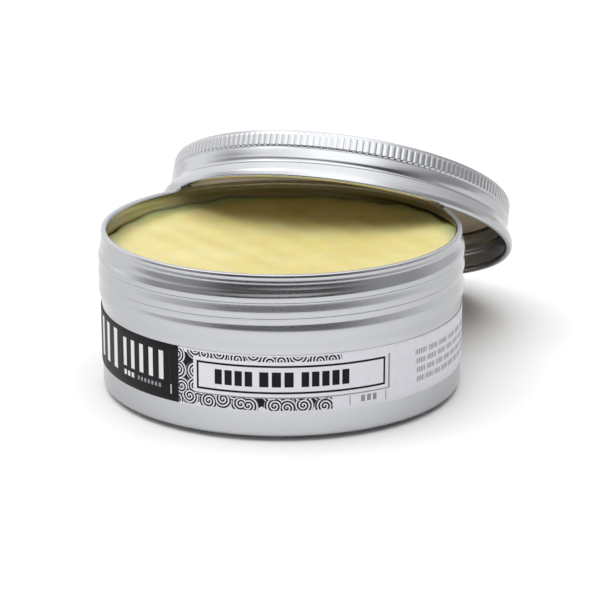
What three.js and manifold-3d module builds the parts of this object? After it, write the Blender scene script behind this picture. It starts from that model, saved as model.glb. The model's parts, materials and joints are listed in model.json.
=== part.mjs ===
// A round screw-top tin of soft wax with its lid off. The lid leans on the tin: its low edge is on the
// table behind the tin, and its raised edge lies across the tin's rim.
// Millimetres, +Z up. The origin is the centre of the tin's base, and -Y is the side with the label's front.
import * as THREE from 'three'
import { mergeVertices } from 'three/addons/utils/BufferGeometryUtils.js'
import Module from 'manifold-3d'

// ---- Driving dimensions ----
const SHEET = 0.35 // thickness of the aluminium of the tin and of the lid
const TIN_HEIGHT = 32.6
const WALL_R = 36.0 // outer radius of the tin's wall
const BASE_FILLET = 1.5 // radius of the corner between the base and the wall
const RIM_INSET = 0.1 // the tin's rolled rim lies this much inside the wall
const RIM_TUBE = 0.7 // radius of the roll itself
const NECK_INSET = 0.15 // the wall just under the rim lies this much inside the rim's roll

const THREAD_PITCH = 3.0 // rise in one turn, on the tin and in the lid
const THREAD_TURNS = 1.95
const THREAD_FADE = 25 // degrees over which a thread fades out at either end
const THREAD_HEIGHT = 0.5 // how far the thread stands out of the tin's wall
const THREAD_TUBE = 1.0 // radius of the thread's round section
const THREAD_TOP_DROP = 3.6 // from the top of the rim down to the last of the thread
const THREAD_TOP_ANGLE = 75 // degrees, where the thread runs out below the rim
const STOP_BEAD_DROP = 11.9 // from the top of the rim down to the bead under the lid's edge
const STOP_BEAD_HEIGHT = 0.5
const STOP_BEAD_FOOT = 3.2 // height of the bead's soft slope, below its crest
const STOP_BEAD_SHOULDER = 1.8 // height of its short upper side

const WAX_DROP = 4.3 // from the top of the rim down to the wax
const WAX_DISH = 0.5 // how much lower the middle of the wax is
const LABEL_LOW = 6.0 // height of the label's lower edge
const LABEL_HIGH = 17.2
const LABEL_THICKNESS = 0.15
const LABEL_GAP = 12 // bare strip at the back, between the label's two ends

const LID_HEIGHT = 10.8
const LID_CLEARANCE = 0.2 // between the tin's thread and the lid's inner wall
const LID_CURL_FLARE = 1.45 // how much wider the lid's rolled edge is than its wall
const LID_CURL_TUBE = 0.65 // radius of the lid's rolled edge
const LID_FLARE_LOW = 1.9 // above the open edge, where the widest part of the flare ends
const LID_FLARE_HIGH = 4.5 // where it meets the straight wall
const LID_CORNER = 0.9 // radius of the corner between the lid's top and its side
const LID_TOP_INSET = 0.15 // the corner lies this much inside the wall
const LID_PANEL_DROP = 0.5 // the middle of the lid's top lies this much lower than its border
const LID_PANEL_MARGIN = 4.05 // from the lid's wall in to that panel
const LID_PANEL_STEP = 0.5 // width of the slope round the panel
const LID_GROOVE_DEPTH = 0.5 // how far the lid's thread is pressed in
const LID_GROOVE_TUBE = 0.9 // radius of its round section
const LID_GROOVE_TURNS = 1.05
const LID_GROOVE_START = 172.5 // degrees
const LID_GROOVE_LOW = 3.5 // height of the thread's start above the lid's open edge
const KNURL_FLUTES = 174
const KNURL_DEPTH = 0.3
const BAND_INSET = 0.45 // the sheet behind the knurl lies this much inside the wall
const BAND_SLOPE = 0.5 // height of the slope under the knurl
const KNURL_LOW = 7.0 // above the lid's open edge
const KNURL_HIGH = 10.3
const LINER_THICKNESS = 1.0
const LINER_DIAMETER_GAP = 1.2 // the foam disc is this much smaller than the lid inside

const LEAN_RISE = 6.388 // the lid's raised edge stands this much higher over its low edge than the tin does
const LEAN_AZIMUTH = 15.5 // degrees from +Y towards +X, the way that the lid leans
const TOUCH_GAP = 0.15 // kept between the lid, the tin's rim and the table
const PIECE_GAP = 0.05 // kept between pieces that are glued or cast together

// ---- Sizes worked out from them ----
const SEGMENTS = 48
const CREST_R = WALL_R + THREAD_HEIGHT
const RIM_R = WALL_R - RIM_INSET // outer radius of the rim
const RIM_CENTRE_R = RIM_R - RIM_TUBE
const RIM_CENTRE_Z = TIN_HEIGHT - RIM_TUBE
const NECK_R = RIM_R - NECK_INSET
const THREAD_TOP_Z = TIN_HEIGHT - THREAD_TOP_DROP
const NECK_LOW_Z = THREAD_TOP_Z - 0.6 * THREAD_TUBE
const NECK_HIGH_Z = RIM_CENTRE_Z - 1.5 * RIM_TUBE
const STOP_BEAD_Z = TIN_HEIGHT - STOP_BEAD_DROP
const WAX_Z = TIN_HEIGHT - WAX_DROP
const LID_WALL_R = CREST_R + LID_CLEARANCE + SHEET
const LID_CURL_R = LID_WALL_R + LID_CURL_FLARE - LID_CURL_TUBE
const LID_PANEL_R = LID_WALL_R - LID_PANEL_MARGIN
const BAND_R = LID_WALL_R - BAND_INSET
const LID_INNER_TOP = LID_HEIGHT - LID_PANEL_DROP - SHEET
const RADIANS = Math.PI / 180
const LEAN_TILT = Math.asin((TIN_HEIGHT + LEAN_RISE) / (2 * LID_CURL_R)) / RADIANS // of the lid's axis

const wasm = await Module()
wasm.setup()

// A closed three.js geometry as a solid that can be joined and cut.
function solid(geometry) {
  const bare = geometry.clone()
  bare.deleteAttribute('normal')
  bare.deleteAttribute('uv')
  const merged = mergeVertices(bare, 1e-4)
  const vertProperties = new Float32Array(merged.attributes.position.array)
  const triVerts = new Uint32Array(merged.index.array)
  return new wasm.Manifold(new wasm.Mesh({ numProp: 3, vertProperties, triVerts }))
}

// The solid as a three.js geometry again.
function geometryOf(body) {
  const { vertProperties, triVerts } = body.getMesh()
  const geometry = new THREE.BufferGeometry()
  geometry.setAttribute('position', new THREE.BufferAttribute(vertProperties, 3))
  geometry.setIndex(new THREE.BufferAttribute(triVerts, 1))
  geometry.computeVertexNormals()
  return geometry
}

// Points of an arc round (r, z), from one angle to another, in degrees from the outward direction.
function arc(r, z, radius, from, to, steps) {
  return Array.from({ length: steps + 1 }, (_, i) => {
    const angle = (from + ((to - from) * i) / steps) * RADIANS
    return [r + radius * Math.cos(angle), z + radius * Math.sin(angle)]
  })
}

// A body of revolution about Z. The outline goes up the outside, from the axis or from its own start.
function turned(outline) {
  const points = outline.map(([r, z]) => new THREE.Vector2(Math.max(r, 0), z))
  const geometry = new THREE.LatheGeometry(points, SEGMENTS)
  return geometry.rotateX(Math.PI / 2)
}

// The number of turns that ends on an edge between two facets.
function wholeFacets(turns) {
  return Math.round(turns * SEGMENTS) / SEGMENTS
}

// The path of a thread's middle. It moves off by `dive` at both ends, into the wall or away from it, so that
// the thread fades out.
class ThreadPath extends THREE.Curve {
  constructor(radius, startZ, startAngle, turns, dive) {
    super()
    Object.assign(this, { radius, startZ, startAngle, turns, dive })
  }
  getPoint(t) {
    const angle = this.startAngle * RADIANS + t * this.turns * 2 * Math.PI
    const fromEnd = Math.min(t, 1 - t) * this.turns * 360
    const fade = Math.min(fromEnd / THREAD_FADE, 1)
    const r = this.radius + this.dive * (1 - fade * fade * (3 - 2 * fade))
    const z = this.startZ + t * this.turns * THREAD_PITCH
    return new THREE.Vector3(r * Math.cos(angle), r * Math.sin(angle), z)
  }
}

// A round bar that follows a thread path.
function threadBar(path, tubeRadius) {
  const section = new THREE.Shape().absarc(0, 0, tubeRadius, 0, 2 * Math.PI, false)
  const steps = Math.round(path.turns * SEGMENTS)
  const sweep = { extrudePath: path, steps, curveSegments: 5, bevelEnabled: false }
  return solid(new THREE.ExtrudeGeometry(section, sweep))
}

// ---- The tin ----
function tinBody() {
  const outside = [
    [0, 0],
    ...arc(WALL_R - BASE_FILLET, BASE_FILLET, BASE_FILLET, -90, 0, 4),
    [WALL_R, STOP_BEAD_Z - STOP_BEAD_FOOT],
    [WALL_R + STOP_BEAD_HEIGHT * 0.55, STOP_BEAD_Z - STOP_BEAD_FOOT / 2],
    [WALL_R + STOP_BEAD_HEIGHT, STOP_BEAD_Z],
    [WALL_R + STOP_BEAD_HEIGHT * 0.7, STOP_BEAD_Z + STOP_BEAD_SHOULDER / 2],
    [WALL_R, STOP_BEAD_Z + STOP_BEAD_SHOULDER],
    [WALL_R, NECK_LOW_Z],
    [NECK_R, NECK_HIGH_Z],
    ...arc(RIM_CENTRE_R, RIM_CENTRE_Z, RIM_TUBE, -40, 90, 5),
    [0, TIN_HEIGHT],
  ]
  const inside = [
    [0, SHEET],
    ...arc(WALL_R - BASE_FILLET, BASE_FILLET, BASE_FILLET - SHEET, -90, 0, 4),
    [WALL_R - SHEET, NECK_LOW_Z],
    [NECK_R - SHEET, NECK_HIGH_Z],
    ...arc(RIM_CENTRE_R, RIM_CENTRE_Z, RIM_TUBE, 240, 90, 5),
    [RIM_CENTRE_R, TIN_HEIGHT + SHEET],
    [0, TIN_HEIGHT + SHEET],
  ]
  const turns = wholeFacets(THREAD_TURNS)
  const startZ = THREAD_TOP_Z - turns * THREAD_PITCH
  const startAngle = THREAD_TOP_ANGLE - turns * 360
  const dive = -THREAD_HEIGHT - THREAD_TUBE / 5
  const path = new ThreadPath(CREST_R - THREAD_TUBE, startZ, startAngle, turns, dive)
  const outer = solid(turned(outside)).add(threadBar(path, THREAD_TUBE))
  const hollow = solid(turned(inside)).add(threadBar(path, THREAD_TUBE - SHEET))
  return geometryOf(outer.subtract(hollow))
}

// Soft wax, cast into the tin. Its top is a little lower in the middle.
function wax() {
  const r = WALL_R - SHEET - PIECE_GAP
  const low = SHEET + PIECE_GAP
  const fillet = BASE_FILLET - SHEET
  return turned([
    [0, low],
    ...arc(r - fillet, low + fillet, fillet, -90, 0, 3),
    [r, WAX_Z],
    [r * 0.75, WAX_Z - WAX_DISH * 0.55],
    [r * 0.4, WAX_Z - WAX_DISH * 0.9],
    [0, WAX_Z - WAX_DISH],
  ])
}

// A printed paper strip round the wall, with a bare gap at the back between its ends.
function label() {
  const inner = WALL_R + PIECE_GAP
  const outer = inner + LABEL_THICKNESS
  const band = turned([
    [inner, LABEL_LOW],
    [outer, LABEL_LOW],
    [outer, LABEL_HIGH],
    [inner, LABEL_HIGH],
    [inner, LABEL_LOW],
  ])
  const strip = new THREE.BoxGeometry(LABEL_GAP, 2 * WALL_R, 2 * LABEL_HIGH)
  strip.translate(0, 1.5 * WALL_R, LABEL_HIGH)
  return geometryOf(solid(band).subtract(solid(strip)))
}

// ---- The lid, with its open edge at z = 0 and its axis up ----
function knurl() {
  const outline = Array.from({ length: 2 * KNURL_FLUTES }, (_, i) => {
    const angle = (i * Math.PI) / KNURL_FLUTES
    const r = LID_WALL_R - (i % 2) * KNURL_DEPTH
    return new THREE.Vector2(r * Math.cos(angle), r * Math.sin(angle))
  })
  const depth = KNURL_HIGH - KNURL_LOW - BAND_SLOPE
  const band = new THREE.ExtrudeGeometry(new THREE.Shape(outline), { depth, bevelEnabled: false })
  return solid(band.translate(0, 0, KNURL_LOW + BAND_SLOPE / 2))
}

// The S in which the lid's wall widens down to its rolled edge, from below up, moved in by `inset`.
function flare(inset) {
  return [0, 1 / 3, 2 / 3, 1].map((t) => {
    const r = LID_WALL_R + LID_CURL_FLARE * (1 - t * t * (3 - 2 * t)) - inset
    return [r, LID_FLARE_LOW + t * (LID_FLARE_HIGH - LID_FLARE_LOW)]
  })
}

function lidShell() {
  const cornerR = LID_WALL_R - LID_TOP_INSET - LID_CORNER
  const outside = [
    [0, LID_CURL_TUBE],
    [LID_CURL_R, 0],
    ...arc(LID_CURL_R, LID_CURL_TUBE, LID_CURL_TUBE, -60, 0, 3),
    ...flare(0),
    [LID_WALL_R, KNURL_LOW - BAND_SLOPE],
    [BAND_R, KNURL_LOW],
    [BAND_R, KNURL_HIGH - BAND_SLOPE / 2],
    ...arc(cornerR, LID_HEIGHT - LID_CORNER, LID_CORNER, 25, 90, 3),
    [LID_PANEL_R + LID_PANEL_STEP, LID_HEIGHT],
    [LID_PANEL_R, LID_HEIGHT - LID_PANEL_DROP],
    [0, LID_HEIGHT - LID_PANEL_DROP],
  ]
  const inside = [
    [0, -SHEET],
    [LID_CURL_R, -SHEET],
    [LID_CURL_R, 0],
    ...arc(LID_CURL_R, LID_CURL_TUBE, LID_CURL_TUBE, 270, 150, 4),
    ...flare(SHEET),
    [LID_WALL_R - SHEET, KNURL_LOW - BAND_SLOPE],
    [BAND_R - SHEET, KNURL_LOW],
    [BAND_R - SHEET, LID_HEIGHT - LID_CORNER],
    [LID_PANEL_R + LID_PANEL_STEP, LID_HEIGHT - SHEET],
    [LID_PANEL_R, LID_INNER_TOP],
    [0, LID_INNER_TOP],
  ]
  const radius = LID_WALL_R - LID_GROOVE_DEPTH + LID_GROOVE_TUBE
  const dive = LID_GROOVE_DEPTH + LID_GROOVE_TUBE / 5
  const path = new ThreadPath(radius, LID_GROOVE_LOW, LID_GROOVE_START, wholeFacets(LID_GROOVE_TURNS), dive)
  const outer = solid(turned(outside)).add(knurl()).subtract(threadBar(path, LID_GROOVE_TUBE))
  const hollow = solid(turned(inside)).subtract(threadBar(path, LID_GROOVE_TUBE + SHEET))
  return geometryOf(outer.subtract(hollow))
}

// The loose disc of white foam that seals the tin.
function lidLiner() {
  const r = BAND_R - SHEET - LINER_DIAMETER_GAP / 2
  const top = LID_INNER_TOP - TOUCH_GAP
  return turned([
    [0, top - LINER_THICKNESS],
    [r, top - LINER_THICKNESS],
    [r, top],
    [0, top],
  ])
}

// How far behind the tin's axis the centre of the lid's rolled edge is when the lid leans. The tin's rings
// that the edge can meet are the rim's roll, the thread's crest and the stop bead, each as its radius, its
// height and the radius of its tube. The lid comes in from behind until its roll is just the gap from one.
function leanOffset(centreZ) {
  const tilt = LEAN_TILT * RADIANS
  const rings = [
    [RIM_CENTRE_R, RIM_CENTRE_Z, RIM_TUBE],
    [CREST_R, THREAD_TOP_Z, 0],
    [CREST_R, STOP_BEAD_Z, 0],
  ]
  const nearest = (offset) => {
    let best = Infinity
    for (let i = 0; i <= 720; i++) {
      const angle = (i / 720) * Math.PI
      const back = offset + LID_CURL_R * Math.cos(angle) * Math.cos(tilt)
      const side = LID_CURL_R * Math.sin(angle)
      const z = centreZ - LID_CURL_R * Math.cos(angle) * Math.sin(tilt)
      for (const [r, ringZ, tube] of rings) {
        best = Math.min(best, Math.hypot(Math.hypot(back, side) - r, z - ringZ) - tube)
      }
    }
    return best
  }
  let offset = 2 * LID_CURL_R
  while (nearest(offset) > LID_CURL_TUBE + TOUCH_GAP) offset -= 0.01
  return offset
}

// ---- Assembly ----
function piece(name, geometry, material) {
  const mesh = new THREE.Mesh(geometry, new THREE.MeshStandardMaterial(material))
  mesh.name = name
  return mesh
}

const satin = { color: 0xc9ccd0, roughness: 0.32, metalness: 1.0 }
const part = new THREE.Group()
part.add(piece('tin_body', tinBody(), satin))
part.add(piece('wax', wax(), { color: 0xefe7a6, roughness: 0.55, metalness: 0.0 }))
part.add(piece('label', label(), { color: 0xf0f0ee, roughness: 0.6, metalness: 0.0 }))

const lid = new THREE.Group()
lid.add(piece('lid_shell', lidShell(), satin))
lid.add(piece('lid_liner', lidLiner(), { color: 0xf4f3ee, roughness: 0.9, metalness: 0.0 }))
const rollZ = LID_CURL_R * Math.sin(LEAN_TILT * RADIANS) + LID_CURL_TUBE + TOUCH_GAP
const lean = new THREE.Vector3(Math.sin(LEAN_AZIMUTH * RADIANS), Math.cos(LEAN_AZIMUTH * RADIANS), 0)
const axis = lean.clone().multiplyScalar(Math.sin(LEAN_TILT * RADIANS)).setZ(Math.cos(LEAN_TILT * RADIANS))
lid.quaternion.setFromUnitVectors(new THREE.Vector3(0, 0, 1), axis)
lid.position.copy(lean).multiplyScalar(leanOffset(rollZ)).setZ(rollZ)
lid.position.addScaledVector(axis, -LID_CURL_TUBE)
part.add(lid)

export default part
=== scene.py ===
# %% [markdown]
# # A screw-top tin of soft wax
# The object is a round tin drawn from one sheet of aluminium. It is full of pale wax, has a printed strip of
# paper round its wall, and its lid is off and leans on the rim. Five pieces are shown here: the tin, the wax,
# the label, the lid and the foam disc in the lid. Each is a surface worked out with numpy from a few sizes,
# in millimetres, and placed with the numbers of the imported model, which is the frame that it has to fit.

# %% Load the frame and keep its box
import json
import math

import bpy
import numpy as np
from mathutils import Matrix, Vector


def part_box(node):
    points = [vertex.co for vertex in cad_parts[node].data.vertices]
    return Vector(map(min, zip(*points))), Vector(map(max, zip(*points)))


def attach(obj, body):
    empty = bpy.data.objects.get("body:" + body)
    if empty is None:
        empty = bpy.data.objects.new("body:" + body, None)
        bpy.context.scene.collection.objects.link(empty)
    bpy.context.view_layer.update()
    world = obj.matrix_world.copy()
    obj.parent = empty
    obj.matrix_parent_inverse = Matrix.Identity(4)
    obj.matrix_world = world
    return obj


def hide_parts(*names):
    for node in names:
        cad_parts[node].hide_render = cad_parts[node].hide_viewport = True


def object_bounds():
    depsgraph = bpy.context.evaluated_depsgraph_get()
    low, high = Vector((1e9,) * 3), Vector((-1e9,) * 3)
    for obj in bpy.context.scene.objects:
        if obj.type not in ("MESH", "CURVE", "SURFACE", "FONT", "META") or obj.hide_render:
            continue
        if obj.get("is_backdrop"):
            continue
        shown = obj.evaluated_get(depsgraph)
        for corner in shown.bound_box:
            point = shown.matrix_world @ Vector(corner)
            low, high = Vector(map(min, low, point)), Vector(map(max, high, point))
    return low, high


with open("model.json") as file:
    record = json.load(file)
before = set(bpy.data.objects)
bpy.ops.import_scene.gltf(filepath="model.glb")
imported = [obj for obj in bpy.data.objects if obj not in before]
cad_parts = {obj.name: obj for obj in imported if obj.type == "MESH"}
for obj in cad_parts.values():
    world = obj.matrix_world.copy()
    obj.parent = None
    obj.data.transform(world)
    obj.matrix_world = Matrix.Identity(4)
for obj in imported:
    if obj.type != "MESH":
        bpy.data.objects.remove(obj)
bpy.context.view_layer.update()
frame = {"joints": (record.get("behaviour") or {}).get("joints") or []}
MM = 0.001

# %% [markdown]
# ## The camera
# A tin on a table is seen here from a little above, with a long lens from far away, so the rim and the base
# are ellipses of nearly the same shape. A wide lens close by would open the mouth much more than the base.

# %% Place the camera
CAMERA_AIM = np.array([2.68, 0.0, 17.82]) * MM
CAMERA_DISTANCE = 447.85 * MM
CAMERA_PITCH = math.radians(17.15)
LENS = 136.1
SENSOR = 36.0

camera = bpy.data.objects.new("camera", bpy.data.cameras.new("camera"))
back = np.array([0.0, -math.cos(CAMERA_PITCH), math.sin(CAMERA_PITCH)])
camera.location = CAMERA_AIM + back * CAMERA_DISTANCE
camera.rotation_euler = (math.pi / 2 - CAMERA_PITCH, 0, 0)
camera.data.lens = LENS
camera.data.sensor_width = SENSOR
camera.data.clip_start = 0.01
bpy.context.scene.collection.objects.link(camera)
bpy.context.scene.camera = camera
print("camera at", [round(x, 4) for x in camera.location])

# %% [markdown]
# ## Node formulas
# The finishes and the studio are formulas of a place or a direction. Written as one node after another they
# are hard to read, so a small class lets a formula be written with + - * and a few named steps, and adds the
# Math nodes itself.

# %% A number at every point, as a node socket
class Field:
    """One number that a node tree works out at every point. Sums and products of fields add Math nodes."""

    def __init__(self, tree, socket):
        self.tree = tree
        self.socket = socket

    def step(self, operation, *others):
        node = self.tree.nodes.new("ShaderNodeMath")
        node.operation = operation
        for slot, value in zip(node.inputs, (self, *others)):
            if isinstance(value, Field):
                self.tree.links.new(value.socket, slot)
            else:
                slot.default_value = value
        return Field(self.tree, node.outputs[0])

    def __add__(self, other):
        return self.step("ADD", other)

    def __sub__(self, other):
        return self.step("SUBTRACT", other)

    def __mul__(self, other):
        return self.step("MULTIPLY", other)

    def __truediv__(self, other):
        return self.step("DIVIDE", other)

    def flipped(self):
        """1 where this is 0, and 0 where this is 1."""
        return self * -1 + 1

    def rise(self, start, end):
        """0 below start, 1 above end, and a smooth S between them."""
        node = self.tree.nodes.new("ShaderNodeMapRange")
        node.interpolation_type = "SMOOTHSTEP"
        self.tree.links.new(self.socket, node.inputs["Value"])
        node.inputs["From Min"].default_value = start
        node.inputs["From Max"].default_value = end
        return Field(self.tree, node.outputs[0])

    def within(self, low, high, blur):
        """1 from low to high, and 0 outside, with edges as soft as blur."""
        half = blur / 2
        return self.rise(low - half, low + half) * self.rise(high - half, high + half).flipped()


def mix(tree, share, first, second):
    """A colour that goes from first to second as share goes from 0 to 1."""
    node = tree.nodes.new("ShaderNodeMix")
    node.data_type = "RGBA"
    sockets = [s for s in node.inputs if s.type == "RGBA"]
    tree.links.new(share.socket, node.inputs[0])
    for socket, value in zip(sockets, (first, second)):
        if isinstance(value, bpy.types.NodeSocket):
            tree.links.new(value, socket)
        else:
            socket.default_value = (*value, 1.0)
    return next(s for s in node.outputs if s.type == "RGBA")


# %% Start a material
def plain_material(name, colour, roughness):
    """A new material with one Principled shader, and that shader."""
    material = bpy.data.materials.new(name)
    material.use_nodes = True
    shader = material.node_tree.nodes["Principled BSDF"]
    shader.inputs["Base Color"].default_value = (*colour, 1.0)
    shader.inputs["Roughness"].default_value = roughness
    return material, shader


def noise(tree, place, scale, detail=2.0):
    """A cloudy noise of a place, as a field of about 0.2 to 0.8."""
    node = tree.nodes.new("ShaderNodeTexNoise")
    node.inputs["Scale"].default_value = scale
    node.inputs["Detail"].default_value = detail
    tree.links.new(place, node.inputs["Vector"])
    return Field(tree, node.outputs["Fac"])


def add_bump(shader, height, strength, distance):
    """Shade the surface as if a field pushed it out, by up to distance in metres."""
    tree = height.tree
    bump = tree.nodes.new("ShaderNodeBump")
    bump.inputs["Strength"].default_value = strength
    bump.inputs["Distance"].default_value = distance
    tree.links.new(height.socket, bump.inputs["Height"])
    tree.links.new(bump.outputs[0], shader.inputs["Normal"])


# %% [markdown]
# ## The studio
# Polished metal has hardly any colour of its own and shows the room. The room here is a white tent with a
# softbox high in front, greyer at its sides, brighter on the left than on the right, and dark low down in
# front, where the camera stands. That dark part draws the dark lines along the thread. What lights the paper,
# the wax and the floor is mostly one broad light overhead, so the lid throws a deep, soft shadow straight
# down. One sky can't be both, so the sky that mirror-like rays meet is given apart from the sky that lights
# everything else. A real room has only one, so this is a studio made to suit the metal, not a copy of one.

# %% Light the studio
SOFTBOX = 1.75
TENT_TOP_LEFT = 1.35
TENT_TOP_RIGHT = 0.92
TENT_SIDE = 0.42
TENT_FRONT = 0.05
TENT_BACK_LEFT = 1.45
TENT_BACK_RIGHT = 0.8
OVERHEAD = 2.5
FRONT_FILL = 0.42
DIM = 0.04

scene = bpy.context.scene
scene.view_settings.view_transform = "Standard"
world = bpy.data.worlds.new("studio")
scene.world = world
world.use_nodes = True
sky = world.node_tree
sky.nodes.clear()
direction = sky.nodes.new("ShaderNodeSeparateXYZ")
sky.links.new(sky.nodes.new("ShaderNodeTexCoord").outputs["Generated"], direction.inputs[0])
east, north, up = (Field(sky, socket) for socket in direction.outputs)
aside = east.step("ABSOLUTE")
ray = sky.nodes.new("ShaderNodeLightPath").outputs


def blend_fields(share, first, second):
    """first where share is 0 and second where it is 1. Each of the two is a field or a number."""
    return share * second + share.flipped() * first


def sine(degrees):
    """The sine of an angle in degrees, which is how far a direction at that angle reaches along an axis."""
    return math.sin(math.radians(degrees))


right = east.rise(-0.5, 0.5)
tent_top = blend_fields(right, TENT_TOP_LEFT, TENT_TOP_RIGHT)
tent_back = blend_fields(right, TENT_BACK_LEFT, TENT_BACK_RIGHT)
high = blend_fields(aside.rise(0.2, 0.65), SOFTBOX, tent_top)
low_front = blend_fields(aside.rise(sine(28), sine(75)), TENT_FRONT, TENT_SIDE)
low = blend_fields(north.rise(-0.1, 0.5), low_front, tent_back)
mirrored = blend_fields(up.rise(sine(20), sine(36)), low, high)
above = (up - east * 0.05).rise(0.62, 0.92)
fill = north.rise(-0.6, 0.1).flipped() * (east.rise(-0.3, 0.8) * -0.85 + 1)
lighting = above * OVERHEAD + fill * FRONT_FILL + DIM
strength = blend_fields(Field(sky, ray["Is Glossy Ray"]), lighting, mirrored)
strength = blend_fields(Field(sky, ray["Is Camera Ray"]), strength, 1.0)
background = sky.nodes.new("ShaderNodeBackground")
background.inputs["Color"].default_value = (1.0, 1.0, 1.0, 1.0)
sky.links.new(strength.socket, background.inputs["Strength"])
sky.links.new(background.outputs[0], sky.nodes.new("ShaderNodeOutputWorld").inputs["Surface"])
print("the sky has", len(sky.nodes), "nodes")

# %% Lay the floor
FLOOR_HALF = 3.0

floor_mesh = bpy.data.meshes.new("floor")
corners = [(x * FLOOR_HALF, y * FLOOR_HALF, 0.0) for x, y in ((-1, -1), (1, -1), (1, 1), (-1, 1))]
floor_mesh.from_pydata(corners, [], [(0, 1, 2, 3)])
floor = bpy.data.objects.new("floor", floor_mesh)
scene.collection.objects.link(floor)
floor_mesh.materials.append(plain_material("floor", (0.92, 0.92, 0.92), 0.7)[0])
floor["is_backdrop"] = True


# %% Add the lamp
def lamp(name, place, target, size, power):
    """A square area light of that size in metres, that faces its target."""
    data = bpy.data.lights.new(name, "AREA")
    data.size = size
    data.energy = power
    light = bpy.data.objects.new(name, data)
    light.location = place
    light.rotation_euler = (Vector(target) - Vector(place)).to_track_quat("-Z", "Y").to_euler()
    scene.collection.objects.link(light)


lamp("key", (-0.45, 0.0, 0.7), (0, 0, 0.02), 0.35, 0.8)

# %% [markdown]
# ## Round pieces
# A tin, a lid and a cake of wax are all made by turning, so each is a section carried round an axis. A
# section is a closed line that starts and ends on the axis. Blender's Screw modifier does that too, but the
# screw thread and the knurl change the section on the way round, so the points are worked out here as
# whole arrays: one row for each point of the section and one column for each step round.

# %% Turn blocks of rings into a mesh
def ring_faces(start, count, next_start, next_count):
    """Faces from one ring of points to the next, which may have a whole number of times more or fewer.
    Equal rings give quads. Otherwise every short edge makes a triangle with the nearest point of the coarse
    ring, and every long edge with a point of the fine ring."""
    if count == next_count:
        near = np.arange(count)
        far = (near + 1) % count
        return np.stack([start + near, start + far, next_start + far, next_start + near], 1).tolist()
    fine, coarse = max(count, next_count), min(count, next_count)
    fine_start, coarse_start = (start, next_start) if count > next_count else (next_start, start)
    ratio = fine // coarse
    edge = np.arange(fine)
    apex = coarse_start + ((edge + ratio // 2) // ratio) % coarse
    faces = [np.stack([fine_start + edge, fine_start + (edge + 1) % fine, apex], 1)]
    if coarse > 1:
        long = np.arange(coarse)
        tip = fine_start + ((long + 1) * ratio - ratio // 2) % fine
        faces.append(np.stack([coarse_start + (long + 1) % coarse, coarse_start + long, tip], 1))
    faces = np.concatenate(faces)
    return (faces if count > next_count else faces[:, ::-1]).tolist()


def round_piece(name, blocks, material):
    """A closed mesh of blocks of rings. A block is an array of rows, columns and x, y, z in metres, and a
    pole is a block of one row and one column. Rows go up the outside, so the faces look outwards."""
    rings = [(len(block[0]), row) for block in blocks for row in block]
    starts = np.cumsum([0] + [count for count, _ in rings])
    faces = []
    for i in range(len(rings) - 1):
        faces += ring_faces(starts[i], rings[i][0], starts[i + 1], rings[i + 1][0])
    mesh = bpy.data.meshes.new(name)
    mesh.from_pydata(np.concatenate([row for _, row in rings]).tolist(), [], faces)
    mesh.shade_smooth()
    mesh.materials.append(material)
    piece = bpy.data.objects.new(name, mesh)
    scene.collection.objects.link(piece)
    print(name, "has", len(mesh.vertices), "points and", sum(len(f) - 2 for f in faces), "triangles")
    return piece


def turn(radius, height, columns):
    """Rings of the points (radius, height), in mm, where either may change with the angle. The result has
    one row for each of them."""
    angle = np.arange(columns) * 2 * np.pi / columns
    radius, height, angle = np.broadcast_arrays(radius, height, angle)
    return np.stack([radius * np.cos(angle), radius * np.sin(angle), height], -1) * MM


def pole(height):
    """The single point where a section meets the axis."""
    return np.array([[[0.0, 0.0, height]]]) * MM


def line(start, end, steps):
    """Points (radius, height) on a straight stretch of a section, without its last one."""
    share = np.linspace(0, 1, steps, endpoint=False)[:, None]
    return np.array(start) * (1 - share) + np.array(end) * share


def bend(centre, size, start, end, steps):
    """Points on an arc of a section, from one angle to another in degrees, with its last one."""
    angle = np.radians(np.linspace(start, end, steps + 1))[:, None]
    return np.array(centre) + size * np.concatenate([np.cos(angle), np.sin(angle)], 1)


def rounded(points, cut, steps=5):
    """An outline whose inner corners are rounded: each becomes a parabola that starts and ends at the
    distance cut from the corner, or at half of a side that is shorter than two cuts."""
    points = np.array(points, float)
    parts = [points[:1]]
    share = np.linspace(0, 1, steps + 1)[:, None]
    for before, corner, after in zip(points, points[1:], points[2:]):
        reach = [side * min(cut / np.linalg.norm(side), 0.5) for side in (before - corner, after - corner)]
        first, last = corner + reach[0], corner + reach[1]
        parts.append(first * (1 - share) ** 2 + corner * 2 * share * (1 - share) + last * share**2)
    return np.concatenate([*parts, points[-1:]])


def smooth(x, start, end):
    """0 before start, 1 after end, and a smooth S between them."""
    t = np.clip((x - start) / (end - start), 0, 1)
    return t * t * (3 - 2 * t)


def ramp(x, start, end, start_round, end_round):
    """0 before start, 1 after end, and a straight slope between them with both its ends rounded off. Each
    end is a soft corner, size * log(1 + exp(x / size))."""
    first = start_round * np.logaddexp(0, (x - start) / start_round)
    last = end_round * np.logaddexp(0, (x - end) / end_round)
    return (first - last) / (end - start)


# %% [markdown]
# ## Drawn aluminium
# The tin and the lid are pressed from bare sheet with a satin finish. The drawing die leaves very fine lines
# that run round the piece. A noise stretched round the axis and squeezed along it makes those lines, and it
# moves the roughness and a faint bump. A second, large noise varies the haze. The metal's colour is painted
# darker where it is seen edge on, a painted shade. Bare metal doesn't do that; it stands in for the darker
# reflections of darker surroundings at the sides.

# %% Make the aluminium
# The share of the tint that is left where the metal is seen edge on: a painted shade, not the metal's own
# colour.
EDGE_SHADE_SHARE = 0.55
LINE_SCALES = (60, 60, 9000)


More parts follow.
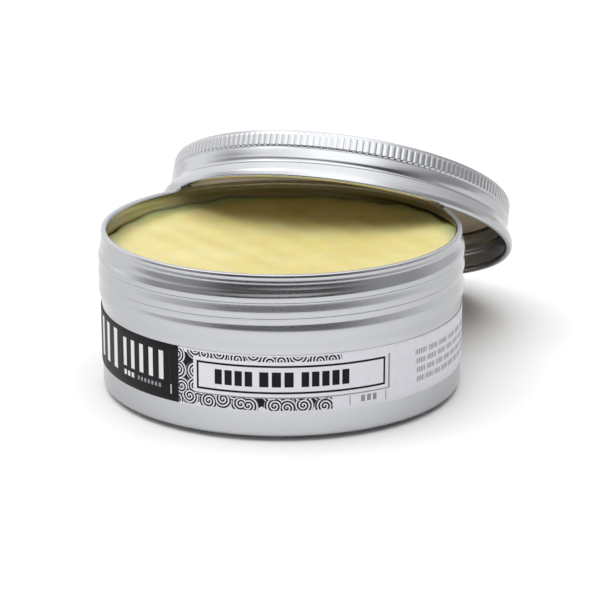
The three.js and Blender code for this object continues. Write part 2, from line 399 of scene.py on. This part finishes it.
def aluminium(name, tint, roughness, axis=None):
    """Satin metal with fine lines round the piece's axis, and painted shade that darkens its colour where it
    is seen edge on. axis is (point, direction) where it isn't Z."""
    material, shader = plain_material(name, tint, roughness)
    shader.inputs["Metallic"].default_value = 1.0
    tree = material.node_tree
    coords = tree.nodes.new("ShaderNodeTexCoord")
    mapping = tree.nodes.new("ShaderNodeMapping")
    mapping.vector_type = "TEXTURE"
    if axis is not None:
        mapping.inputs["Location"].default_value = axis[0]
        mapping.inputs["Rotation"].default_value = Vector(axis[1]).to_track_quat("Z", "Y").to_euler()
    tree.links.new(coords.outputs["Object"], mapping.inputs["Vector"])
    # Painted shade: the colour goes from the tint to a darker copy of it as the surface turns edge on.
    facing = tree.nodes.new("ShaderNodeLayerWeight")
    painted_edge_shade = tuple(EDGE_SHADE_SHARE * value for value in tint)
    colour = mix(tree, Field(tree, facing.outputs["Facing"]), tint, painted_edge_shade)
    tree.links.new(colour, shader.inputs["Base Color"])
    squeeze = tree.nodes.new("ShaderNodeVectorMath")
    squeeze.operation = "MULTIPLY"
    squeeze.inputs[1].default_value = LINE_SCALES
    tree.links.new(mapping.outputs[0], squeeze.inputs[0])
    lines = noise(tree, squeeze.outputs[0], 1.0, 3.0)
    haze = noise(tree, mapping.outputs[0], 90.0, 4.0)
    rough = lines * 0.08 + (roughness - 0.07) + haze * 0.06
    tree.links.new(rough.socket, shader.inputs["Roughness"])
    add_bump(shader, lines, 0.06, 0.00008)
    return material


METAL = (0.57, 0.58, 0.6)
tin_metal = aluminium("drawn_aluminium", METAL, 0.2)

# %% [markdown]
# ## The tin
# The tin's section goes from the middle of its base up the wall, over a soft bead that stops the lid, past
# the screw thread and the neck to a rolled rim, and down the inside. The thread is a ridge whose crest climbs
# with the angle. In this section it is a bump that is added to the radius, so one formula gives every ring.

# %% Give the tin its sizes
tin_low, tin_high = (np.array(corner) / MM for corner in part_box("tin_body"))
HEIGHT = tin_high[2]
THREAD_HEIGHT = 0.5
WALL_R = (tin_high[0] - tin_low[0]) / 2 - THREAD_HEIGHT
SHEET = 0.35
INNER_FILLET = 1.5
BASE_REACH = 1.2
BASE_RISE = 1.7
BASE_LIFT = 0.75
FOOT_R = WALL_R - 4
RECESS_R = 29.0
RECESS_HEIGHT = 0.5
FLOOR_TOP = 0.95
RIM_R = WALL_R - 0.1
RIM_HEIGHT = 1.58
RIM_WIDTH = 1.3
NECK_R = RIM_R - 0.17
NECK_LOW = HEIGHT - 2.85
NECK_HIGH = HEIGHT - 1.8
THREAD_PITCH = 3.0
THREAD_RIDGE = 0.32
THREAD_SWELLING = THREAD_HEIGHT - THREAD_RIDGE
THREAD_CORNER = 0.88
THREAD_ROOT = 2.52
THREAD_TOP = HEIGHT - 3.6
THREAD_TOP_ANGLE = 75
THREAD_TURNS = 1.96
BEAD_TOP = HEIGHT - 11.75
BEAD_HEIGHT = 0.5
BEAD_FOOT = 3.2
BEAD_CORNER = 0.98
BEAD_ROOT = 3.3
TIN_COLUMNS = 360
print("tin:", round(HEIGHT, 2), "mm high, wall radius", round(WALL_R, 2), "mm")


# %% Carry the tin's section round
def ridge(above, corner, root, foot):
    """A ridge, as a share of its height, at a distance above its crest: an S up from the foot, a nearly
    upright face, a corner, and a straight slope down to the root."""
    face = smooth(above, -foot, -0.1) - 0.06 * np.clip(above / corner, 0, 1) ** 2
    return face * (1 - ramp(above, corner, root, 0.07, 0.14))


def thread(height, degrees):
    """How far the thread stands out of the wall. Each turn's crest is one pitch higher than the last, and
    it fades out at both ends. The turns share a low swelling, which ends just past the first and last."""
    start = THREAD_TOP_ANGLE - THREAD_TURNS * 360
    crests, upper, lower = 0.0, 0.0, 0.0
    for turns in range(-3, 2):
        along = degrees + turns * 360
        above = height - THREAD_TOP - (along - THREAD_TOP_ANGLE) * THREAD_PITCH / 360
        fade = smooth(along, start, start + 30) * (1 - smooth(along, THREAD_TOP_ANGLE - 30, THREAD_TOP_ANGLE))
        crests = crests + fade * ridge(above, THREAD_CORNER, THREAD_ROOT, THREAD_PITCH - THREAD_ROOT)
        upper = np.maximum(upper, fade * (1 - smooth(above, 0.55, 1.85)))
        lower = np.maximum(lower, fade * smooth(above, -1.6, -0.6))
    return THREAD_RIDGE * crests + THREAD_SWELLING * upper * lower


def tin_wall(height, degrees):
    """The wall's outer radius: a plain wall, plus the soft bead, plus the thread, less the narrower neck."""
    bead = BEAD_HEIGHT * ridge(height - BEAD_TOP, BEAD_CORNER, BEAD_ROOT, BEAD_FOOT)
    neck = (WALL_R - NECK_R) * ramp(height, NECK_LOW, NECK_HIGH, 0.1, 0.1)
    return WALL_R + bead - neck + thread(height, degrees)


def tin_blocks():
    """The tin's rings, from the middle of the base to the middle of the floor inside."""
    degrees = np.arange(TIN_COLUMNS) * 360 / TIN_COLUMNS
    corner = bend((0, 0), 1, -90, 0, 12)[:-1] * (BASE_REACH, BASE_RISE - BASE_LIFT)
    base = np.concatenate([
        line((8, RECESS_HEIGHT), (RECESS_R, RECESS_HEIGHT), 3),
        bend((RECESS_R, RECESS_HEIGHT - 0.25), 0.25, 90, 0, 4),
        bend((RECESS_R + 0.65, 0.4), 0.4, 180, 270, 4),
        line((RECESS_R + 0.8, 0), (FOOT_R, 0), 3),
        line((FOOT_R, 0), (WALL_R - BASE_REACH, BASE_LIFT), 4),
        corner + (WALL_R - BASE_REACH, BASE_RISE),
    ])
    wall_z = np.concatenate([
        np.linspace(BASE_RISE, BEAD_TOP - BEAD_FOOT, 12, endpoint=False),
        np.linspace(BEAD_TOP - BEAD_FOOT, HEIGHT - RIM_HEIGHT - 0.08, 125),
    ])[:, None]
    rim = rounded(
        [
            (NECK_R, HEIGHT - RIM_HEIGHT),
            (NECK_R - 0.13, HEIGHT - 1.12),
            (RIM_R, HEIGHT - 1.02),
            (RIM_R, HEIGHT - 0.54),
            (RIM_R - 0.12, HEIGHT - 0.06),
            (RIM_R - 0.35, HEIGHT),
            (RIM_R - RIM_WIDTH + 0.35, HEIGHT),
            (RIM_R - RIM_WIDTH, HEIGHT - 0.4),
            (RIM_R - RIM_WIDTH, HEIGHT - 1),
            (NECK_R - SHEET, HEIGHT - 1.2),
        ],
        0.09,
    )
    inner_z = np.linspace(HEIGHT - 1.3, HEIGHT - 7, 30)[:, None]
    inside = np.concatenate([
        line((WALL_R - SHEET, HEIGHT - 7.5), (WALL_R - SHEET, INNER_FILLET + 0.6), 4),
        bend((WALL_R - INNER_FILLET - 0.2, INNER_FILLET + 0.6), INNER_FILLET - 0.15, 0, -90, 5),
        line((28, FLOOR_TOP), (8, FLOOR_TOP), 3),
    ])
    return [
        pole(RECESS_HEIGHT),
        turn(base[:, :1], base[:, 1:], TIN_COLUMNS),
        turn(tin_wall(wall_z, degrees), wall_z, TIN_COLUMNS),
        turn(rim[:, :1], rim[:, 1:], TIN_COLUMNS),
        turn(tin_wall(inner_z, degrees) - SHEET, inner_z, TIN_COLUMNS),
        turn(inside[:, :1], inside[:, 1:], TIN_COLUMNS),
        pole(FLOOR_TOP),
    ]


tin = round_piece("tin_shell", tin_blocks(), tin_metal)
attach(tin, "tin")
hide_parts("tin_body")

# %% [markdown]
# ## The wax
# Soft wax is poured warm and sets with a dull, slightly uneven top that clings to the wall. Light goes a few
# millimetres into it and comes out yellower, which subsurface scattering makes.

# %% Make the wax's finish
def wax_material():
    """Pale yellow wax: scattering inside, cloudy patches of a deeper yellow, and a faint uneven gloss."""
    material, shader = plain_material("soft_wax", (0.68, 0.61, 0.28), 0.5)
    shader.inputs["Subsurface Weight"].default_value = 1.0
    shader.inputs["Subsurface Radius"].default_value = (1.0, 0.5, 0.1)
    shader.inputs["Subsurface Scale"].default_value = 0.007
    tree = material.node_tree
    coords = tree.nodes.new("ShaderNodeTexCoord")
    cloud = noise(tree, coords.outputs["Object"], 110.0, 5.0)
    share = cloud.rise(0.35, 0.7)
    tree.links.new(mix(tree, share, (0.66, 0.56, 0.205), (0.7, 0.62, 0.28)), shader.inputs["Base Color"])
    add_bump(shader, cloud, 0.25, 0.0004)
    return material


# %% Cast the wax
WAX_COLUMNS = 360
wax_high = np.array(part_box("wax")[1]) / MM
WAX_R = wax_high[0]
WAX_BOTTOM = 1.2


def wax_blocks():
    """The cake's rings: base, side and top. The top slopes a little up to the right and to the back, has
    waves of a few tenths of a millimetre, and climbs the wall, more at some angles than at others."""
    angle = np.arange(WAX_COLUMNS) * 2 * np.pi / WAX_COLUMNS
    share = np.linspace(1, 0.02, 60)[:, None]
    radius = WAX_R * share
    x, y = radius * np.cos(angle), radius * np.sin(angle)
    waves = 0.12 * np.sin(x * 0.31 + 1.0) * np.cos(y * 0.27) + 0.07 * np.sin(x * 0.8 + y * 0.55)
    smear = 0.5 + 0.3 * np.sin(3 * angle + 1) + 0.25 * np.sin(11 * angle) + 0.2 * np.sin(23 * angle + 2)
    climb = np.clip(smear, 0, 2) * np.clip(1 - (1 - share) * 14, 0, 1) ** 2
    slope = (0.7 * x + 0.7 * y) / WAX_R
    top = wax_high[2] - 0.2 + slope + waves * smooth(1 - share, 0, 0.1) + climb
    side = line((WAX_R - 1, WAX_BOTTOM), (WAX_R, WAX_BOTTOM + 1), 2)
    return [
        pole(WAX_BOTTOM),
        turn(side[:, :1], side[:, 1:], WAX_COLUMNS),
        turn(radius, top, WAX_COLUMNS),
        pole(top[-1].mean()),
    ]


wax = round_piece("wax_cake", wax_blocks(), wax_material())
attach(wax, "tin")
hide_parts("wax")

# %% [markdown]
# ## The lid
# The lid is drawn like the tin. Its side has a knurled band for the fingers, then a plain band with the
# pressed thread, and flares out to a rolled edge. It is built upright, with its open edge at height 0, and
# then every point is carried to where the lid leans, by the turning joint's own point and axis.

# %% Find where the lid leans
turning = next(j for j in frame["joints"] if j["name"] == "lid_turn")
lid_place = np.array(turning["pos_m"])
lid_axis = np.array(turning["axis"], float)
lid_axis /= np.linalg.norm(lid_axis)
lid_turned = np.array(Vector((0, 0, 1)).rotation_difference(Vector(lid_axis)).to_matrix())
print("the lid leans", round(math.degrees(math.acos(lid_axis[2])), 2), "degrees")


def lean(block):
    """The same points, carried with the lid's axis and open edge to where it leans."""
    return block @ lid_turned.T + lid_place


# %% Give the lid its sizes
LID_WALL_R = 37.05
LID_HEIGHT = 10.8
FLARE = 1.45
EDGE_TUBE = 0.65
LID_CORNER = 0.9
TOP_INSET = 0.15
PANEL_R = 33.0
PANEL_DROP = 0.5
GROOVE_DEPTH = 0.2
GROOVE_LOW = 3.25
GROOVE_START = 172.5
GROOVE_TURNS = 1.05
KNURL_RIBS = 174
KNURL_DEPTH = 0.2
RIB_FLATNESS = 0.45
KNURL_LOW = 7.0
KNURL_HIGH = 10.3
VALLEY_INSET = 0.28
LID_COLUMNS = 2 * KNURL_RIBS
KNURL_COLUMNS = 8 * KNURL_RIBS


# %% Carry the lid's section round
def lid_wall(height, degrees):
    """The plain wall's outer radius. It flares in an S towards the open edge, is a low round bead under the
    knurl, and has the pressed thread: a groove with a long slope above it and a short one below."""
    flare = FLARE * (1 - smooth(height, 1.2, 4.5))
    groove = 0.0
    end = GROOVE_START + GROOVE_TURNS * 360
    for turns in (-1, 0, 1):
        along = degrees + turns * 360
        above = height - GROOVE_LOW - (along - GROOVE_START) * THREAD_PITCH / 360
        fade = smooth(along, GROOVE_START, GROOVE_START + 25) * (1 - smooth(along, end - 25, end))
        groove = groove + fade * smooth(above, -0.45, 0) * (1 - ramp(above, 0.05, 0.9, 0.06, 0.1))
    bead = 0.03 * np.clip(1 - ((height - 6.1) / 0.85) ** 2, 0, 1)
    inset = VALLEY_INSET * smooth(height, KNURL_LOW - 0.3, KNURL_LOW)
    return LID_WALL_R + flare + bead - GROOVE_DEPTH * groove - inset


def knurl_radius(height, turn_share):
    """The knurled band's outer radius: flat-topped ribs with narrow valleys between them. A rib rises out of
    the band slowly at its lower end and drops quickly at its upper end."""
    rib = np.abs(np.cos(np.pi * KNURL_RIBS * turn_share)) ** RIB_FLATNESS
    low_end = smooth(height, KNURL_LOW, KNURL_LOW + 0.55)
    high_end = 1 - smooth(height, KNURL_HIGH - 0.6, KNURL_HIGH - 0.1)
    ends = low_end * high_end
    return LID_WALL_R - VALLEY_INSET + (0.04 * (1 - rib) + KNURL_DEPTH * rib) * ends


def lid_blocks():
    """The lid's rings, from the middle of its top inside, down to the edge and up to the top outside."""
    degrees = np.arange(LID_COLUMNS) * 360 / LID_COLUMNS
    share = np.arange(KNURL_COLUMNS) / KNURL_COLUMNS
    inner_top = LID_HEIGHT - PANEL_DROP - SHEET
    inside_top = np.concatenate([
        line((8, inner_top), (PANEL_R, inner_top), 3),
        line((PANEL_R, inner_top), (PANEL_R + 0.5, LID_HEIGHT - SHEET), 2),
        line((PANEL_R + 0.5, LID_HEIGHT - SHEET), (LID_WALL_R - 1.8, LID_HEIGHT - SHEET), 2),
        bend((LID_WALL_R - 1.9, LID_HEIGHT - 1.45), 1.1, 90, 0, 6),
    ])
    inner_z = np.linspace(LID_HEIGHT - 1.9, 1.7, 60)[:, None]
    edge_centre = (LID_WALL_R + FLARE - EDGE_TUBE, EDGE_TUBE)
    edge = bend(edge_centre, EDGE_TUBE, 115, 360, 24)
    outer_z = np.linspace(0.75, KNURL_LOW - 0.05, 70)[:, None]
    knurl_z = np.concatenate([
        np.linspace(KNURL_LOW, KNURL_LOW + 0.6, 9),
        np.linspace(KNURL_LOW + 1, KNURL_HIGH - 1, 4),
        np.linspace(KNURL_HIGH - 0.65, KNURL_HIGH, 8),
    ])[:, None]
    crest = LID_WALL_R - TOP_INSET
    top = np.concatenate([
        bend((crest - LID_CORNER, LID_HEIGHT - LID_CORNER), LID_CORNER, 30, 90, 8),
        line((PANEL_R + 1.2, LID_HEIGHT), (PANEL_R + 0.6, LID_HEIGHT), 2),
        line((PANEL_R + 0.5, LID_HEIGHT - 0.05), (PANEL_R, LID_HEIGHT - PANEL_DROP), 5),
        line((PANEL_R - 0.1, LID_HEIGHT - PANEL_DROP), (6, LID_HEIGHT - PANEL_DROP), 4),
    ])
    inner_r = lid_wall(inner_z, degrees) - SHEET - 0.11 * smooth(inner_z, KNURL_LOW - 0.5, KNURL_LOW)
    return [
        pole(inner_top),
        turn(inside_top[:, :1], inside_top[:, 1:], LID_COLUMNS),
        turn(inner_r, inner_z, LID_COLUMNS),
        turn(edge[:, :1], edge[:, 1:], LID_COLUMNS),
        turn(lid_wall(outer_z, degrees), outer_z, LID_COLUMNS),
        turn(knurl_radius(knurl_z, share), knurl_z, KNURL_COLUMNS),
        turn(top[:, :1], top[:, 1:], LID_COLUMNS),
        pole(LID_HEIGHT - PANEL_DROP),
    ]


lid_metal = aluminium("drawn_aluminium_lid", METAL, 0.2, (lid_place, lid_axis))
lid = round_piece("lid_cap", [lean(block) for block in lid_blocks()], lid_metal)
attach(lid, "lid")
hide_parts("lid_shell")

# %% [markdown]
# ## The foam disc
# A loose disc of cream foam lies in the top of the lid and seals the tin. It is cut from sheet, so its edge
# is square with slightly soft corners, and the tin's rim has pressed a shallow ring into it.

# %% Cut the foam disc
FOAM_R = 35.65
FOAM_TOP = LID_HEIGHT - PANEL_DROP - SHEET - 0.15
FOAM_LOW = FOAM_TOP - 1.0
FOAM_COLUMNS = 180
DIP_R = 34.7
DIP_WIDTH = 0.55
DIP_DEPTH = 0.25


def foam_material():
    """Cream foam: soft and dull, with small closed cells that show as a fine bump and a faint mottle."""
    material, shader = plain_material("seal_foam", (0.64, 0.54, 0.37), 0.9)
    tree = material.node_tree
    coords = tree.nodes.new("ShaderNodeTexCoord")
    cells = tree.nodes.new("ShaderNodeTexVoronoi")
    cells.inputs["Scale"].default_value = 2600.0
    tree.links.new(coords.outputs["Object"], cells.inputs["Vector"])
    pores = Field(tree, cells.outputs["Distance"])
    share = pores.rise(0.1, 0.7)
    tree.links.new(mix(tree, share, (0.68, 0.57, 0.4), (0.6, 0.5, 0.34)), shader.inputs["Base Color"])
    add_bump(shader, pores, 0.4, 0.0001)
    return material


def foam_blocks():
    """The disc's rings, from the middle of its face towards the tin, over the pressed ring and round the
    edge to the middle of its back. The pressed ring is a dip of a quarter of a millimetre."""
    radius = np.linspace(2, FOAM_R - 0.12, 70)[:, None]
    dip = DIP_DEPTH * np.exp(-(((radius - DIP_R) / DIP_WIDTH) ** 2))
    low_corner = [(FOAM_R - 0.1, FOAM_LOW), (FOAM_R, FOAM_LOW)]
    high_corner = [(FOAM_R, FOAM_TOP), (FOAM_R - 0.2, FOAM_TOP)]
    edge = rounded(low_corner + high_corner, 0.1)
    back_side = line((FOAM_R - 0.5, FOAM_TOP), (2, FOAM_TOP), 4)
    return [
        pole(FOAM_LOW),
        turn(radius, FOAM_LOW + dip, FOAM_COLUMNS),
        turn(edge[:, :1], edge[:, 1:], FOAM_COLUMNS),
        turn(back_side[:, :1], back_side[:, 1:], FOAM_COLUMNS),
        pole(FOAM_TOP),
    ]


foam = round_piece("foam_disc", [lean(block) for block in foam_blocks()], foam_material())
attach(foam, "liner")
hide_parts("lid_liner")

# %% [markdown]
# ## The label
# The label is a strip of printed paper glued round the wall, with its ends apart at the back. The mesh is a
# thin closed section carried round, and its UV map runs along the strip and up it. The printing is drawn in
# the shader from that map, in millimetres: along is measured round the wall from the middle of the front, and
# above is the height over the table. The print is plain shapes only, in place of any words.

# %% Give the label its sizes
label_low, label_high = (np.array(corner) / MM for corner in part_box("label"))
PAPER_R = label_high[0]
PAPER_THICKNESS = 0.15
PAPER_LOW, PAPER_HIGH = label_low[2], label_high[2]
PAPER_GAP = 12.0
PAPER_COLUMNS = 420
half_turn = math.pi - math.asin(PAPER_GAP / 2 / WALL_R)
PAPER_LENGTH = 2 * half_turn * PAPER_R
print("the strip is", round(PAPER_LENGTH, 1), "mm long and", round(PAPER_HIGH - PAPER_LOW, 1), "mm wide")


# %% Cut the paper strip
def paper_strip(name, material):
    """The strip: a flat loop with rounded outer edges, carried from one end to the other, and closed with a
    face at each end. The UV map is the share along the strip and the share of its width."""
    inner = PAPER_R - PAPER_THICKNESS
    side = np.linspace(PAPER_LOW + 0.06, PAPER_HIGH - 0.06, 12)
    outer = np.stack([np.full_like(side, PAPER_R), side], 1)
    low_edge = [(inner, PAPER_LOW), (PAPER_R - 0.05, PAPER_LOW)]
    high_edge = [(PAPER_R - 0.05, PAPER_HIGH), (inner, PAPER_HIGH)]
    loop = np.concatenate([low_edge, outer, high_edge])
    share = np.linspace(0, 1, PAPER_COLUMNS)
    angle = -math.pi / 2 + (share - 0.5) * 2 * half_turn
    ripple = 0.012 * np.sin(angle * 31) * np.sin(angle * 7 + 1)
    radius = loop[:, :1] + ripple
    points = np.stack([radius * np.cos(angle), radius * np.sin(angle), loop[:, 1:] + 0 * angle], -1) * MM
    rows, columns = points.shape[:2]
    row, column = np.meshgrid(np.arange(rows), np.arange(columns - 1), indexing="ij")
    here, above = row * columns + column, (row + 1) % rows * columns + column
    faces = np.stack([here, here + 1, above + 1, above], -1).reshape(-1, 4).tolist()
    first = (np.arange(rows) * columns).tolist()
    last = [corner + columns - 1 for corner in first]
    mesh = bpy.data.meshes.new(name)
    mesh.from_pydata(points.reshape(-1, 3).tolist(), [], faces + [first, last[::-1]])
    mesh.shade_smooth()
    mesh.set_sharp_from_angle(angle=math.radians(50))
    width = (loop[:, 1:] - PAPER_LOW) / (PAPER_HIGH - PAPER_LOW) + 0 * share
    uv = np.stack([share + 0 * width, width], -1).reshape(-1, 2)
    corner_points = np.zeros(len(mesh.loops), dtype=np.int32)
    mesh.loops.foreach_get("vertex_index", corner_points)
    mesh.uv_layers.new(name="strip").data.foreach_set("uv", uv[corner_points].ravel())
    mesh.materials.append(material)
    piece = bpy.data.objects.new(name, mesh)
    scene.collection.objects.link(piece)
    print(name, "has", len(mesh.vertices), "points")
    return piece


# %% Print the paper
PAPER = (0.8, 0.8, 0.85)
INK = (0.008, 0.008, 0.01)
GREY_INK = (0.3, 0.3, 0.32)
SHARP = 0.06
CURL_SPACING = 0.62


class Print:
    """The printing on the strip. Each shape is a field that is 1 where its ink is, from places in mm."""

    def __init__(self, tree):
        self.tree = tree
        strip = tree.nodes.new("ShaderNodeUVMap")
        strip.uv_map = "strip"
        split = tree.nodes.new("ShaderNodeSeparateXYZ")
        tree.links.new(strip.outputs[0], split.inputs[0])
        self.along = Field(tree, split.outputs[0]) * PAPER_LENGTH - PAPER_LENGTH / 2
        self.above = Field(tree, split.outputs[1]) * (PAPER_HIGH - PAPER_LOW) + PAPER_LOW

    def block(self, left, right, bottom, top):
        return self.along.within(left, right, SHARP) * self.above.within(bottom, top, SHARP)

    def bars(self, left, pitch, share, count, bottom, top):
        """A row of equal upright bars: each takes a share of the pitch."""
        phase = ((self.along - left) / pitch).step("FRACT")
        row = self.block(left - SHARP, left + pitch * count, bottom, top)
        return row * phase.within(0, share, SHARP / pitch)

    def frame(self, left, right, bottom, top, width):
        inside = self.block(left + width, right - width, bottom + width, top - width)
        return self.block(left, right, bottom, top) * inside.flipped()

    def curls(self, left, right, bottom, top, size):
        """Spirals side by side. Each point belongs to the nearest of many scattered centres, and its line
        follows distance / spacing + angle / one turn. A spiral is drawn if its centre is in the block."""
        place = self.tree.nodes.new("ShaderNodeCombineXYZ")
        self.tree.links.new(self.along.socket, place.inputs[0])
        self.tree.links.new(self.above.socket, place.inputs[1])
        cells = self.tree.nodes.new("ShaderNodeTexVoronoi")
        cells.voronoi_dimensions = "2D"
        cells.inputs["Scale"].default_value = 1 / size
        cells.inputs["Randomness"].default_value = 0.7
        self.tree.links.new(place.outputs[0], cells.inputs["Vector"])
        centre = self.tree.nodes.new("ShaderNodeSeparateXYZ")
        self.tree.links.new(cells.outputs["Position"], centre.inputs[0])
        centre_along, centre_above = Field(self.tree, centre.outputs[0]), Field(self.tree, centre.outputs[1])
        right_of = self.along - centre_along
        over = self.above - centre_above
        distance = (right_of * right_of + over * over).step("SQRT")
        angle = over.step("ARCTAN2", right_of) / (2 * math.pi)
        lines = (distance / CURL_SPACING + angle).step("FRACT").within(0.0, 0.56, 0.12)
        disc = distance.within(-1, size * 0.64, SHARP)
        drawn = centre_along.within(left, right, 0.01) * centre_above.within(bottom, top, 0.01)
        return drawn * disc * lines, drawn * disc.flipped()


def paper_material():
    """White paper with black printing: from the left a black panel with plain white bars, a band of curls, a
    framed box with a row of blocks, a small mark between two ticks, and four lines of grey dashes."""
    material, shader = plain_material("printed_paper", PAPER, 0.5)
    shader.inputs["Specular IOR Level"].default_value = 0.15
    tree = material.node_tree
    drawn = Print(tree)

    def lay(ink, field, under):
        return mix(tree, field, under, ink)

    grain = noise(tree, tree.nodes.new("ShaderNodeTexCoord").outputs["Object"], 900.0)
    colour = mix(tree, grain.rise(0.3, 0.7), PAPER, (0.77, 0.77, 0.83))
    lines, ground = drawn.curls(-21.3, 10.9, 6.2, 17.6, 3.1)
    colour = lay(INK, lines * drawn.block(-20.3, 12.6, 6.3, 16.9), colour)
    colour = lay(INK, ground * drawn.block(-20.3, 11.4, 6.9, 16.4), colour)
    colour = lay(GREY_INK, drawn.block(-16.6, 21.9, 8.7, 15.6), colour)
    colour = lay(PAPER, drawn.block(-17.0, 21.5, 8.95, 15.9), colour)
    colour = lay(INK, drawn.frame(-16.3, 20.8, 9.6, 15.2, 0.42), colour)
    for left, pitch, count in ((-12.6, 1.95, 4), (-4.0, 2.35, 3), (3.9, 1.95, 5)):
        colour = lay(INK, drawn.bars(left, pitch, 0.74, count, 10.95, 13.9), colour)
    for left in (13.3, 21.0):
        colour = lay(GREY_INK, drawn.block(left - 0.1, left + 0.1, 6.6, 8.5), colour)
    colour = lay(GREY_INK, drawn.bars(15.6, 1.25, 0.65, 3, 7.0, 8.3), colour)
    for row, end in enumerate((62.0, 58.0, 60.0, 56.0)):
        above = 14.2 - 1.83 * row
        words = drawn.bars(28.5 + 0.1 * row, 3.9 - 0.35 * row, 0.84, 9, above - 0.45, above + 0.6)
        strokes = (drawn.along * 1.9).step("FRACT").within(0.0, 0.6, 0.2)
        colour = lay(GREY_INK, words * strokes * drawn.along.rise(end, end + 0.1).flipped(), colour)
    colour = lay(INK, drawn.block(-76, -20.3, PAPER_LOW - 1, PAPER_HIGH + 1), colour)
    white = (0.8, 0.8, 0.82)
    colour = lay(white, drawn.bars(-36.1, 2.75, 0.42, 5, 9.9, 15.6), colour)
    colour = lay(white, drawn.bars(-48.6, 4.1, 0.4, 3, 8.3, 16.3), colour)
    colour = lay(white, drawn.bars(-35.9, 1.3, 0.65, 3, 8.1, 9.1), colour)
    colour = lay(GREY_INK, drawn.bars(-31.2, 1.0, 0.55, 7, 8.2, 9.0), colour)
    colour = lay((0.55, 0.55, 0.57), drawn.block(-22.3, -22.0, 7.4, 9.3), colour)
    tree.links.new(colour, shader.inputs["Base Color"])
    tree.links.new((grain * 0.12 + 0.44).socket, shader.inputs["Roughness"])
    add_bump(shader, grain, 0.08, 0.00005)
    return material


label = paper_strip("paper_label", paper_material())
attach(label, "tin")
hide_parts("label")

# %% Find the lowest and highest corners of the pieces
low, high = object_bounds()
